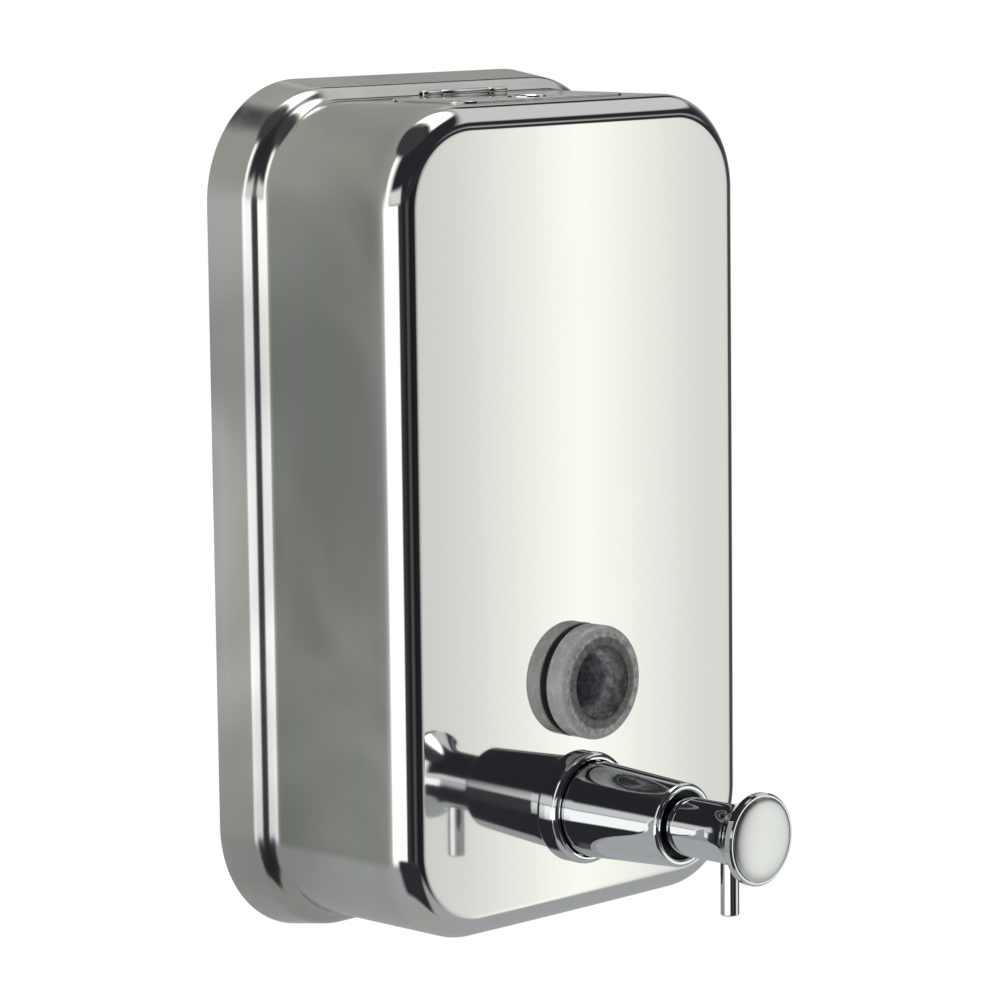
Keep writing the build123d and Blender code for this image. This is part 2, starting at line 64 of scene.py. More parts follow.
class CaseSizes(bpy.types.PropertyGroup):
    """Sizes of the drawn case and its lid"""

    corner: FloatProperty(
        name="Corner", description="Corner radius of the body", default=0.023, unit="LENGTH", precision=4
    )
    flange: FloatProperty(
        name="Flange", description="How far the back flange stands out", default=0.005, unit="LENGTH", precision=4
    )
    face_round: FloatProperty(
        name="Face round", description="Round between sides and face", default=0.0059, unit="LENGTH", precision=4
    )
    crown: FloatProperty(
        name="Crown", description="How far the face falls back at its edges", default=0.0007, unit="LENGTH", precision=4
    )
    sheet: FloatProperty(
        name="Sheet", description="Thickness of the drawn sheet", default=0.0009, unit="LENGTH", precision=4
    )
    turn_steps: IntProperty(name="Turn steps", description="Faces round one corner", default=28, min=6)
    spin_steps: IntProperty(name="Spin steps", description="Faces round a turned part", default=112, min=24)


class Finishes(bpy.types.PropertyGroup):
    """Colours and polish of the finishes"""

    steel: FloatVectorProperty(
        name="Steel", description="Colour of the polished steel", default=(0.80, 0.805, 0.79), subtype="COLOR"
    )
    plain_steel: FloatVectorProperty(
        name="Plain steel", description="Colour of the unpolished steel", default=(0.52, 0.52, 0.51), subtype="COLOR"
    )
    chrome: FloatVectorProperty(
        name="Chrome", description="Colour of the plated parts", default=(0.83, 0.85, 0.87), subtype="COLOR"
    )
    clear: FloatVectorProperty(
        name="Clear plastic", description="Tint of the sight glass", default=(0.80, 0.83, 0.84), subtype="COLOR"
    )
    white: FloatVectorProperty(
        name="White plastic", description="Colour of the moulded parts", default=(0.83, 0.82, 0.79), subtype="COLOR"
    )
    rubber: FloatVectorProperty(
        name="Rubber", description="Colour of the seals", default=(0.035, 0.034, 0.033), subtype="COLOR"
    )
    face_polish: FloatProperty(
        name="Face roughness", description="Roughness of the front face", default=0.035, min=0.0, max=1.0
    )
    side_polish: FloatProperty(
        name="Side roughness", description="Roughness of the side walls", default=0.16, min=0.0, max=1.0
    )


class Stage(bpy.types.PropertyGroup):
    """Camera, floor and light"""

    lens: FloatProperty(name="Lens", description="Focal length in millimetres", default=153.7, min=10.0)
    floor_drop: FloatProperty(
        name="Floor drop", description="Floor's depth below the bracket's centre", default=1.3, unit="LENGTH"
    )
    floor_radius: FloatProperty(name="Floor radius", description="Radius of the floor", default=0.9, unit="LENGTH")
    studio: FloatProperty(name="Studio", description="Strength of the studio's light", default=1.0, min=0.0)
    top_light: FloatProperty(
        name="Top light", description="Power of the overhead light", default=12.0, min=0.0, subtype="POWER"
    )


# ---------------------------------------------------------------- shape helpers


def rounded(corners, degrees_per_step=6.0, rest=0.00012):
    """Points of a line through (a, b, radius) corners: each radius is an arc, with a support point beside it."""
    points = []
    for place, (a, b, radius) in enumerate(corners):
        here = Vector((a, b))
        if radius == 0:
            points.append(here)
            continue
        before = (Vector(corners[place - 1][:2]) - here).normalized()
        after = (Vector(corners[(place + 1) % len(corners)][:2]) - here).normalized()
        opening = before.angle(after)
        back = radius / math.tan(opening / 2)
        centre = here + (before + after).normalized() * radius / math.sin(opening / 2)
        start, end = here + before * back - centre, here + after * back - centre
        sweep = start.angle_signed(end)
        steps = max(3, round(abs(math.degrees(sweep)) / degrees_per_step))
        points.append(centre + start + before * rest)
        for step in range(steps + 1):
            points.append(centre + Matrix.Rotation(-sweep * step / steps, 2) @ start)
        points.append(centre + end + after * rest)
    return points


def drawn_line(bm, points, place):
    """Vertices and edges of a line; place turns each (a, b) point into a position."""
    verts = [bm.verts.new(place(a, b)) for a, b in points]
    return verts, [bm.edges.new(pair) for pair in zip(verts, verts[1:])]


def finished(name, bm, body, material, stands_for=(), sharp=SHARP):
    """Turn a bmesh into a piece that rides on a body."""
    for face in bm.faces:
        face.smooth = True
    for edge in bm.edges:
        edge.smooth = len(edge.link_faces) == 2 and edge.calc_face_angle() < sharp
    mesh = bpy.data.meshes.new(name)
    bm.to_mesh(mesh)
    bm.free()
    piece = bpy.data.objects.new(name, mesh)
    bpy.context.scene.collection.objects.link(piece)
    mesh.materials.append(material)
    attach(piece, body)
    if stands_for:
        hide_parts(*stands_for)
    return piece


def spun(corners, height, across=0.0, steps=None):
    """A bmesh turned about an axis along Y at a height, from (radius, y, rounding) corners."""
    steps = steps or bpy.context.scene.soap_case.spin_steps
    bm = bmesh.new()
    line = rounded(corners)
    if line[0].x > 1e-6:
        line.append(line[0])
    verts, edges = drawn_line(bm, line, lambda r, y: (across + r, y, height))
    bmesh.ops.spin(
        bm,
        geom=verts + edges,
        cent=(across, 0, height),
        axis=(0, 1, 0),
        angle=2 * math.pi,
        steps=steps,
        use_merge=True,
    )
    tidied(bm)
    return bm


def tidied(bm, gap=2e-6):
    """Merge what meets and point every face outwards."""
    bmesh.ops.remove_doubles(bm, verts=bm.verts, dist=gap)
    bmesh.ops.dissolve_degenerate(bm, edges=bm.edges, dist=gap / 2)
    bmesh.ops.recalc_face_normals(bm, faces=bm.faces)


def post(bm, radius, low, high, across, y, edge_round=0.0, segments=48):
    """Add a round post along Z, with its top edge rounded."""
    middle = Matrix.Translation((across, y, (low + high) / 2))
    made = bmesh.ops.create_cone(
        bm, cap_ends=True, segments=segments, radius1=radius, radius2=radius, depth=high - low, matrix=middle
    )
    if edge_round:
        top = [v for v in made["verts"] if v.co.z > (low + high) / 2]
        rim = [e for e in bm.edges if e.verts[0] in top and e.verts[1] in top]
        rounded_edges(bm, rim, edge_round)
    return made["verts"]


def rounded_edges(bm, edges, radius, segments=4):
    """Round the given edges."""
    bmesh.ops.bevel(
        bm,
        geom=edges,
        offset=radius,
        offset_type="OFFSET",
        affect="EDGES",
        segments=segments,
        profile=0.5,
        material=-1,
        clamp_overlap=True,
    )


def plate(bm, low, high, corner, edge_round, axis=2):
    """Add a flat plate between two corners of a box, with round corners seen along an axis and rounded edges."""
    flat = [0, 1, 2]
    flat.remove(axis)
    size = high - low
    middle = (low + high) / 2
    scale = Matrix.Diagonal((*size, 1))
    made = bmesh.ops.create_cube(bm, size=1, matrix=Matrix.Translation(middle) @ scale)
    verts = set(made["verts"])
    uprights = []
    for edge in bm.edges:
        if edge.verts[0] in verts and edge.verts[1] in verts:
            run = edge.verts[0].co - edge.verts[1].co
            if abs(run[axis]) > 0.9 * size[axis] and abs(run[flat[0]]) + abs(run[flat[1]]) < 1e-6:
                uprights.append(edge)
    before = set(bm.faces)
    rounded_edges(bm, uprights, corner, 10)
    near = [f for f in bm.faces if f not in before or any(v in verts for v in f.verts)]
    rims = set()
    for face in near:
        if abs(face.normal[axis]) > 0.99:
            rims.update(face.edges)
    if edge_round:
        rounded_edges(bm, list(rims), edge_round, 3)


def applied(piece, modifier):
    """Apply a modifier to its piece."""
    with bpy.context.temp_override(object=piece, active_object=piece, selected_objects=[piece]):
        bpy.ops.object.modifier_apply(modifier=modifier.name)


def cut(piece, cutters):
    """Cut closed shapes out of a piece."""
    for number, shape in enumerate(cutters):
        mesh = bpy.data.meshes.new(f"cutter_{number}")
        shape.to_mesh(mesh)
        shape.free()
        cutter = bpy.data.objects.new(f"cutter_{number}", mesh)
        bpy.context.scene.collection.objects.link(cutter)
        modifier = piece.modifiers.new(f"cut_{number}", "BOOLEAN")
        modifier.operation = "DIFFERENCE"
        modifier.solver = "EXACT"
        modifier.object = cutter
        applied(piece, modifier)
        bpy.data.objects.remove(cutter)


def sharpened(piece, sharp=SHARP):
    """Mark a piece's sharp edges again, after cuts."""
    bm = bmesh.new()
    bm.from_mesh(piece.data)
    for face in bm.faces:
        face.smooth = True
    for edge in bm.edges:
        edge.smooth = len(edge.link_faces) == 2 and edge.calc_face_angle() < sharp
    bm.to_mesh(piece.data)
    bm.free()


# ---------------------------------------------------------------- finishes


def node(tree, kind, place=(0, 0), **values):
    """Add a node, set its properties and its unlinked inputs."""
    made = tree.nodes.new(kind)
    made.location = place
    for name, value in values.items():
        if hasattr(made, name):
            setattr(made, name, value)
        else:
            made.inputs[name.replace("_", " ")].default_value = value
    return made


def ranged(tree, value, low, high, to_low, to_high):
    """Map a value from one range to another, with soft ends."""
    made = node(tree, "ShaderNodeMapRange", interpolation_type="SMOOTHSTEP")
    tree.links.new(value, made.inputs["Value"])
    for name, number in (("From Min", low), ("From Max", high), ("To Min", to_low), ("To Max", to_high)):
        made.inputs[name].default_value = number
    return made.outputs["Result"]


def group(name, inputs, outputs):
    """A new shader node group with named sockets; returns the tree with its input and output nodes."""
    tree = bpy.data.node_groups.new(name, "ShaderNodeTree")
    for label, kind, default in inputs:
        socket = tree.interface.new_socket(label, in_out="INPUT", socket_type=kind)
        socket.default_value = default
    for label, kind in outputs:
        tree.interface.new_socket(label, in_out="OUTPUT", socket_type=kind)
    return tree, node(tree, "NodeGroupInput"), node(tree, "NodeGroupOutput")


def polish_group():
    """Polishing marks: long fine lines along one direction, soft haze patches and a faint tint."""
    tree, given, out = group(
        "Polishing marks",
        [
            ("Vector", "NodeSocketVector", (0, 0, 0)),
            ("Streak Scale", "NodeSocketFloat", 160.0),
            ("Length Ratio", "NodeSocketFloat", 0.04),
            ("Haze Scale", "NodeSocketFloat", 22.0),
        ],
        [("Streak", "NodeSocketFloat"), ("Haze", "NodeSocketFloat"), ("Tint", "NodeSocketColor")],
    )
    stretch = node(tree, "ShaderNodeCombineXYZ", X=1.0, Y=1.0)
    tree.links.new(given.outputs["Length Ratio"], stretch.inputs["Z"])
    scaled = node(tree, "ShaderNodeVectorMath", operation="MULTIPLY")
    tree.links.new(given.outputs["Vector"], scaled.inputs[0])
    tree.links.new(stretch.outputs["Vector"], scaled.inputs[1])
    lines = node(tree, "ShaderNodeTexNoise", Detail=5.0, Roughness=0.62)
    tree.links.new(scaled.outputs["Vector"], lines.inputs["Vector"])
    tree.links.new(given.outputs["Streak Scale"], lines.inputs["Scale"])
    haze = node(tree, "ShaderNodeTexNoise", Detail=3.0, Roughness=0.5)
    tree.links.new(given.outputs["Vector"], haze.inputs["Vector"])
    tree.links.new(given.outputs["Haze Scale"], haze.inputs["Scale"])
    ramp = node(tree, "ShaderNodeValToRGB")
    tints = [(0.30, (0.93, 1.0, 0.95)), (0.45, (1.0, 0.99, 0.94)), (0.58, (0.97, 0.95, 1.0)), (0.72, (0.94, 1.0, 0.97))]
    set_ramp(ramp, tints)
    tree.links.new(lines.outputs["Fac"], ramp.inputs["Fac"])
    tree.links.new(lines.outputs["Fac"], out.inputs["Streak"])
    tree.links.new(haze.outputs["Fac"], out.inputs["Haze"])
    tree.links.new(ramp.outputs["Color"], out.inputs["Tint"])
    return tree


def set_ramp(ramp, stops):
    """Fill a colour ramp from (position, colour) stops."""
    elements = ramp.color_ramp.elements
    while len(elements) > 1:
        elements.remove(elements[-1])
    elements[0].position, elements[0].color = stops[0][0], (*stops[0][1], 1)
    for position, colour in stops[1:]:
        elements.new(position).color = (*colour, 1)


def grain_group():
    """Moulded or cast surface: fine bump height and a little colour variation."""
    tree, given, out = group(
        "Surface grain",
        [
            ("Vector", "NodeSocketVector", (0, 0, 0)),
            ("Scale", "NodeSocketFloat", 900.0),
            ("Base", "NodeSocketColor", (0.8, 0.8, 0.8, 1)),
            ("Variation", "NodeSocketFloat", 0.06),
        ],
        [("Height", "NodeSocketFloat"), ("Color", "NodeSocketColor"), ("Mask", "NodeSocketFloat")],
    )
    fine = node(tree, "ShaderNodeTexNoise", Detail=3.0, Roughness=0.6)
    broad = node(tree, "ShaderNodeTexNoise", Scale=60.0, Detail=2.0)
    tree.links.new(given.outputs["Vector"], fine.inputs["Vector"])
    tree.links.new(given.outputs["Scale"], fine.inputs["Scale"])
    tree.links.new(given.outputs["Vector"], broad.inputs["Vector"])
    shade = node(tree, "ShaderNodeMath", operation="MULTIPLY")
    tree.links.new(broad.outputs["Fac"], shade.inputs[0])
    tree.links.new(given.outputs["Variation"], shade.inputs[1])
    light = node(tree, "ShaderNodeMath", operation="SUBTRACT")
    light.inputs[0].default_value = 1.0
    tree.links.new(shade.outputs[0], light.inputs[1])
    mixed = node(tree, "ShaderNodeVectorMath", operation="SCALE")
    tree.links.new(given.outputs["Base"], mixed.inputs[0])
    tree.links.new(light.outputs[0], mixed.inputs["Scale"])
    tree.links.new(fine.outputs["Fac"], out.inputs["Height"])
    tree.links.new(mixed.outputs["Vector"], out.inputs["Color"])
    tree.links.new(broad.outputs["Fac"], out.inputs["Mask"])
    return tree


def shader(name):
    """A new material with its Principled shader, tree and Object coordinates."""
    material = bpy.data.materials.new(name)
    material.use_nodes = True
    tree = material.node_tree
    principled = tree.nodes["Principled BSDF"]
    coordinates = node(tree, "ShaderNodeTexCoord", (-900, 0))
    return material, tree, principled, coordinates.outputs["Object"]


def placed(tree, made, vector, **values):
    """Place a node group in a material with its own values."""
    used = node(tree, "ShaderNodeGroup", (-600, 0), node_tree=made)
    tree.links.new(vector, used.inputs["Vector"])
    for label, value in values.items():
        used.inputs[label.replace("_", " ")].default_value = value
    return used


def metal(name, colour, low_rough, high_rough, streak_scale=160.0, tint=0.5, bump=0.0, length_ratio=0.04):
    """Bright metal with polishing marks."""
    material, tree, principled, vector = shader(name)
    principled.inputs["Metallic"].default_value = 1.0
    marks = placed(
        tree, bpy.data.node_groups["Polishing marks"], vector, Streak_Scale=streak_scale, Length_Ratio=length_ratio
    )
    mix = node(tree, "ShaderNodeMix", data_type="RGBA", blend_type="MULTIPLY")
    mix.inputs["Factor"].default_value = tint
    mix.inputs["A"].default_value = (*colour, 1)
    tree.links.new(marks.outputs["Tint"], mix.inputs["B"])
    tree.links.new(mix.outputs["Result"], principled.inputs["Base Color"])
    rough = ranged(tree, marks.outputs["Haze"], 0.35, 0.7, low_rough, high_rough)
    tree.links.new(rough, principled.inputs["Roughness"])
    if bump:
        relief = node(tree, "ShaderNodeBump", Strength=0.4, Distance=bump)
        tree.links.new(marks.outputs["Streak"], relief.inputs["Height"])
        tree.links.new(relief.outputs["Normal"], principled.inputs["Normal"])
    return material


def moulded(name, colour, rough, bump=0.00001, scale=900.0, variation=0.06):
    """Plastic or rubber with a fine grain."""
    material, tree, principled, vector = shader(name)
    grain = placed(
        tree, bpy.data.node_groups["Surface grain"], vector, Scale=scale, Base=(*colour, 1), Variation=variation
    )
    tree.links.new(grain.outputs["Color"], principled.inputs["Base Color"])
    tree.links.new(ranged(tree, grain.outputs["Mask"], 0.3, 0.7, rough, rough + 0.12), principled.inputs["Roughness"])
    relief = node(tree, "ShaderNodeBump", Strength=0.5, Distance=bump)
    tree.links.new(grain.outputs["Height"], relief.inputs["Height"])
    tree.links.new(relief.outputs["Normal"], principled.inputs["Normal"])
    return material


def case_steel(finishes):
    """The case's steel: a mirror on the face, hazier and faintly streaked on the drawn sides."""
    material, tree, principled, vector = shader("case_steel")
    principled.inputs["Metallic"].default_value = 1.0
    marks = placed(tree, bpy.data.node_groups["Polishing marks"], vector, Streak_Scale=190.0, Haze_Scale=30.0)
    parts = node(tree, "ShaderNodeSeparateXYZ")
    tree.links.new(vector, parts.inputs["Vector"])
    face_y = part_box("front_shell")[0].y
    side = ranged(tree, parts.outputs["Y"], face_y + 0.0035, face_y + 0.010, 0.0, 1.0)
    amount = node(tree, "ShaderNodeMath", operation="MULTIPLY_ADD")
    amount.inputs[1].default_value, amount.inputs[2].default_value = 0.75, 0.12
    tree.links.new(side, amount.inputs[0])
    mix = node(tree, "ShaderNodeMix", data_type="RGBA", blend_type="MULTIPLY")
    mix.inputs["A"].default_value = (*finishes.steel, 1)
    tree.links.new(amount.outputs[0], mix.inputs["Factor"])
    tree.links.new(marks.outputs["Tint"], mix.inputs["B"])
    cloud = node(tree, "ShaderNodeTexNoise", Scale=17.0, Detail=2.0, Roughness=0.45, Distortion=0.6)
    tree.links.new(vector, cloud.inputs["Vector"])
    dull = node(tree, "ShaderNodeMath", operation="MULTIPLY")
    tree.links.new(ranged(tree, cloud.outputs["Fac"], 0.32, 0.66, 0.34, 0.0), dull.inputs[0])
    tree.links.new(side, dull.inputs[1])
    keep = node(tree, "ShaderNodeMath", operation="SUBTRACT")
    keep.inputs[0].default_value = 1.0
    tree.links.new(dull.outputs[0], keep.inputs[1])
    clouded = node(tree, "ShaderNodeVectorMath", operation="SCALE")
    tree.links.new(mix.outputs["Result"], clouded.inputs[0])
    tree.links.new(keep.outputs[0], clouded.inputs["Scale"])
    tree.links.new(clouded.outputs["Vector"], principled.inputs["Base Color"])
    face_rough = ranged(tree, marks.outputs["Haze"], 0.35, 0.7, finishes.face_polish, finishes.face_polish * 1.6)
    side_rough = ranged(tree, marks.outputs["Streak"], 0.3, 0.75, finishes.side_polish * 0.7, finishes.side_polish * 1.3)
    blend = node(tree, "ShaderNodeMix", data_type="FLOAT")
    tree.links.new(side, blend.inputs["Factor"])
    tree.links.new(face_rough, blend.inputs["A"])
    tree.links.new(side_rough, blend.inputs["B"])
    tree.links.new(blend.outputs["Result"], principled.inputs["Roughness"])
    return material


def clear_plastic(name, colour, rough, transmission):
    """Clear moulded plastic."""
    material, tree, principled, vector = shader(name)
    grain = placed(tree, bpy.data.node_groups["Surface grain"], vector, Scale=300.0, Base=(*colour, 1), Variation=0.1)
    tree.links.new(grain.outputs["Color"], principled.inputs["Base Color"])
    tree.links.new(ranged(tree, grain.outputs["Mask"], 0.3, 0.7, rough, rough + 0.05), principled.inputs["Roughness"])
    principled.inputs["Transmission Weight"].default_value = transmission
    principled.inputs["IOR"].default_value = 1.49
    return material


def sight_plastic(finishes):
    """The sight glass, coloured by radius: blue-grey soap in its well with painted shade, painted highlight rings round
    its bore, a rim painted dark grey as painted shade seen through the clear plastic, with a random mottle, and a pale
    painted highlight on its edge.
    """
    material = clear_plastic("sight_plastic", finishes.clear, 0.05, 0.12)
    tree = material.node_tree
    principled = tree.nodes["Principled BSDF"]
    vector = node(tree, "ShaderNodeTexCoord").outputs["Object"]
    low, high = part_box("sight_glass")
    rim = (high.z - low.z) / 2
    centred = node(tree, "ShaderNodeVectorMath", operation="SUBTRACT")
    centred.inputs[1].default_value = (0, 0, (low.z + high.z) / 2)
    tree.links.new(vector, centred.inputs[0])
    flat = node(tree, "ShaderNodeVectorMath", operation="MULTIPLY")
    flat.inputs[1].default_value = (1, 0, 1)
    tree.links.new(centred.outputs["Vector"], flat.inputs[0])
    radius = node(tree, "ShaderNodeVectorMath", operation="LENGTH")
    tree.links.new(flat.outputs["Vector"], radius.inputs[0])
    rings = node(tree, "ShaderNodeValToRGB")
    set_ramp(
        rings,
        [
            # Well: blue-grey of the soap seen through, darkened as painted shade of the recess.
            (0.00, (0.40, 0.43, 0.53)),
            (0.28, (0.62, 0.65, 0.74)),
            # Bore: bright rings at 0.38 and from 0.53 to 0.63 are painted highlights on the bore's rim and step, with
            # grey between.
            (0.38, (0.97, 0.98, 0.99)),
            (0.45, (0.60, 0.62, 0.68)),
            (0.53, (0.97, 0.98, 0.98)),
            (0.63, (0.92, 0.93, 0.93)),
            # Rim: dark grey, painted shade standing for the dark gasket and the shade seen through the clear plastic.
            (0.67, (0.17, 0.18, 0.17)),
            (0.885, (0.25, 0.26, 0.25)),
            # Edge from 0.915: pale, a painted highlight that also blends the side wall with the face's bright
            # reflection.
            (0.915, (0.97, 0.97, 0.95)),
            (1.00, (0.97, 0.97, 0.95)),
        ],
    )
    tree.links.new(ranged(tree, radius.outputs["Value"], 0.0, rim, 0.0, 1.0), rings.inputs["Fac"])
    mottle = node(tree, "ShaderNodeTexNoise", Scale=520.0, Detail=4.0, Roughness=0.7)
    tree.links.new(vector, mottle.inputs["Vector"])
    scaled = node(tree, "ShaderNodeVectorMath", operation="SCALE")
    tree.links.new(rings.outputs["Color"], scaled.inputs[0])
    # Random mottle on the well and rim, kept off the painted highlight on the edge.
    spots = node(tree, "ShaderNodeMath", operation="MAXIMUM")
    tree.links.new(ranged(tree, mottle.outputs["Fac"], 0.36, 0.64, 0.5, 1.25), spots.inputs[0])
    tree.links.new(ranged(tree, radius.outputs["Value"], rim * 0.88, rim * 0.91, 0.0, 1.0), spots.inputs[1])
    tree.links.new(spots.outputs[0], scaled.inputs["Scale"])
    tree.links.new(scaled.outputs["Vector"], principled.inputs["Base Color"])
    return material


def repaint(material, slot, *names):
    """Give carried-over nodes a finish."""
    for name in names:
        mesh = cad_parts[name].data
        mesh.materials.clear()
        mesh.materials.append(material)


def finish(name):
    """A finish by its name."""
    return bpy.data.materials[name]


# ---------------------------------------------------------------- operators


class SOAP_OT_finishes(bpy.types.Operator):
    """Make the node groups and the materials"""

    bl_idname = "soap.finishes"
    bl_label = "Finishes"

    def execute(self, context):
        finishes = context.scene.soap_finishes
        polish_group()
        grain_group()
        case_steel(finishes)
        metal("lid_steel", finishes.steel, 0.05, 0.10, tint=0.4)
        metal("chrome", finishes.chrome, 0.012, 0.03, tint=0.15)
        metal("cap_chrome", (0.97, 0.99, 0.98), 0.22, 0.30, streak_scale=260.0, tint=0.35, length_ratio=0.5)
        metal("plain_steel", finishes.plain_steel, 0.24, 0.42, streak_scale=420.0, tint=0.35, bump=0.00002)
        metal("spring_wire", (0.45, 0.46, 0.48), 0.2, 0.35, streak_scale=900.0)
        moulded("white_plastic", finishes.white, 0.34)
        moulded("black_plastic", (0.012, 0.012, 0.013), 0.3)
        moulded("rubber", finishes.rubber, 0.6, bump=0.00002, scale=1500.0, variation=0.3)
        sight_plastic(finishes)
        clear_plastic("clear_tube", (0.85, 0.87, 0.86), 0.12, 0.85)
        return {"FINISHED"}


class SOAP_OT_case(bpy.types.Operator):
    """Draw the case: flange, step, side walls, round and crowned face, with its three openings"""

    bl_idname = "soap.case"
    bl_label = "Case"

    def execute(self, context):
        sizes = context.scene.soap_case
        low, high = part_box("front_shell")
        half_w, half_h = high.x - sizes.flange, high.z - sizes.flange
        reach_w, reach_h = half_w - sizes.corner, half_h - sizes.corner
        face_y, back_y = low.y, high.y
        step_y, foot_y = face_y + 0.0473, face_y + 0.0448
        draft = math.tan(math.radians(8.8))
        skirt = sizes.flange + (step_y - back_y) * draft
        bend = 0.0038
        line = rounded(
            [
                (-sizes.corner, face_y, 0),
                (-sizes.corner * 0.75, face_y, 0),
                (-sizes.corner * 0.5, face_y, 0),
                (0, face_y, sizes.face_round),
                (0, foot_y, bend),
                (skirt, step_y, bend),
                (sizes.flange, back_y, 0),
            ],
            degrees_per_step=4.5,
            rest=0.00025,
        )
        bm = bmesh.new()
        verts, edges = drawn_line(bm, line, lambda u, y: (half_w + u, y, reach_h))
        across, along = 24, 52
        runs = [((-1, 0), reach_w, across), ((0, -1), reach_h, along), ((1, 0), reach_w, across), ((0, 1), reach_h, along)]
        centres = [(1, 1), (-1, 1), (-1, -1), (1, -1)]
        last = verts + edges
        for (side_x, side_z), ((run_x, run_z), reach, steps) in zip(centres, runs):
            turned = bmesh.ops.spin(
                bm,
                geom=last,
                cent=(side_x * reach_w, 0, side_z * reach_h),
                axis=(0, -1, 0),
                angle=math.pi / 2,
                steps=sizes.turn_steps,
                use_merge=False,
            )
            last = turned["geom_last"]
            step = Vector((run_x, 0, run_z)) * (2 * reach / steps)
            for _ in range(steps):
                pulled = bmesh.ops.extrude_edge_only(bm, edges=[g for g in last if isinstance(g, bmesh.types.BMEdge)])
                last = pulled["geom"]
                moved = [g for g in last if isinstance(g, bmesh.types.BMVert)]
                bmesh.ops.translate(bm, verts=moved, vec=step)
                last = moved + [g for g in last if isinstance(g, bmesh.types.BMEdge)]
        middle = Matrix.Translation((0, face_y, 0)) @ Matrix.Rotation(math.pi / 2, 4, "X")
        stretch = Matrix.Diagonal((reach_w, reach_h, 1, 1))
        bmesh.ops.create_grid(bm, x_segments=across, y_segments=along, size=1, matrix=middle @ stretch)
        tidied(bm)
        self.crown(bm, face_y, half_w - sizes.face_round, half_h - sizes.face_round, sizes.crown)
        if bm.faces and max(bm.faces, key=lambda f: -f.calc_center_median().y).normal.y > 0:
            bmesh.ops.reverse_faces(bm, faces=bm.faces)
        piece = finished("case", bm, "tank", finish("case_steel"), ["front_shell"])
        sheet = piece.modifiers.new("sheet", "SOLIDIFY")
        sheet.thickness, sheet.offset, sheet.use_even_offset = sizes.sheet, -1, True
        applied(piece, sheet)
        cut(piece, self.openings(face_y, half_h))
        sharpened(piece)
        return {"FINISHED"}

    def crown(self, bm, face_y, half_w, half_h, depth):
        """Let the face fall back a little towards its edges; the straight side walls take up the change."""
        for vert in bm.verts:
            x, y, z = vert.co
            near = min(max((face_y + 0.030 - y) / 0.024, 0), 1)
            vert.co.y += depth * near * ((x / half_w) ** 2 + 0.15 * (z / half_h) ** 2)

    def openings(self, face_y, top_z):
        """Cutters for the sight glass, the pump and the fill mouth."""
        shapes = []
        for name, grow in (("sight_glass", 0.0), ("pump_escutcheon", 0.0)):
            low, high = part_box(name)
            radius = 0.0097 if name == "sight_glass" else 0.0101
            height = (low.z + high.z) / 2
            shape = spun([(0, face_y - 0.002, 0), (radius, face_y - 0.002, 0), (radius, face_y + 0.004, 0),
                          (0, face_y + 0.004, 0)], height, steps=64)
            shapes.append(shape)
        low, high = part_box("fill_lid")
        gap, lid_back = 0.00025, -0.024
        mouth = bmesh.new()
        near = Vector((low.x - gap, low.y - gap, top_z - 0.003))
        plate(mouth, near, Vector((high.x + gap, lid_back + gap, top_z + 0.002)), 0.00525, 0)
        tidied(mouth)
        shapes.append(mouth)
        return shapes


class SOAP_OT_lid(bpy.types.Operator):
    """Make the fill lid with its hinge"""

    bl_idname = "soap.lid"
    bl_label = "Lid and hinge"

    def execute(self, context):
        low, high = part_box("fill_lid")
        leaf_low, leaf_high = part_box("hinge_leaf")
        pin_low, pin_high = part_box("hinge_pin")
        pin_y, pin_z = (pin_low.y + pin_high.y) / 2, (pin_low.z + pin_high.z) / 2
        knuckle = high.y - pin_y
        bottom, top = low.z, low.z + 0.0008
        bm = bmesh.new()
        plate(bm, Vector((low.x, low.y, bottom)), Vector((high.x, -0.024, top)), 0.005, 0.00025)
        half = 0.0077
        plate(bm, Vector((-half, -0.0255, top - 0.0004)), Vector((half, pin_y, top)), 0.0001, 0.00005)
        self.barrel(bm, knuckle, -half, half, pin_y, pin_z)
        tidied(bm)
        piece = finished("lid", bm, "lid", finish("lid_steel"), ["fill_lid"])
        lock_low, lock_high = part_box("lock_case")
        hole = bmesh.new()
        post(hole, 0.0036, bottom - 0.001, top + 0.001, 0, (lock_low.y + lock_high.y) / 2)
        cut(piece, [hole])
        sharpened(piece)
        leaf = bmesh.new()
        back = Vector((leaf_high.x, leaf_high.y, leaf_low.z + 0.0004))
        plate(leaf, Vector((leaf_low.x, pin_y + knuckle + 0.0003, leaf_low.z)), back, 0.0006, 0.0001)
        for side in (-1, 1):
            ends = sorted((side * 0.008, side * leaf_high.x))
            self.barrel(leaf, knuckle, ends[0], ends[1], pin_y, pin_z)
            arm = Vector((ends[1], pin_y + 0.0018, leaf_low.z + 0.0004))
            plate(leaf, Vector((ends[0], pin_y, leaf_low.z)), arm, 0.0002, 0.00005)
        finished("hinge_leaf_bent", leaf, "tank", finish("lid_steel"), ["hinge_leaf"])
        repaint(finish("plain_steel"), "plain_steel", "hinge_pin", "mouth_ring")
        repaint(finish("rubber"), "rubber_seal", "lid_gasket")
        return {"FINISHED"}

    def barrel(self, bm, radius, left, right, y, z):
        """A rolled hinge knuckle along X."""
        place = Matrix.Translation(((left + right) / 2, y, z)) @ Matrix.Rotation(math.pi / 2, 4, "Y")
        made = bmesh.ops.create_cone(
            bm, cap_ends=True, segments=40, radius1=radius, radius2=radius, depth=right - left, matrix=place
        )
        verts = set(made["verts"])
        rims = [e for e in bm.edges if e.verts[0] in verts and e.verts[1] in verts]
        rims = [e for e in rims if abs(e.verts[0].co.x - e.verts[1].co.x) < 1e-6]
        rounded_edges(bm, rims, 0.00015, 2)


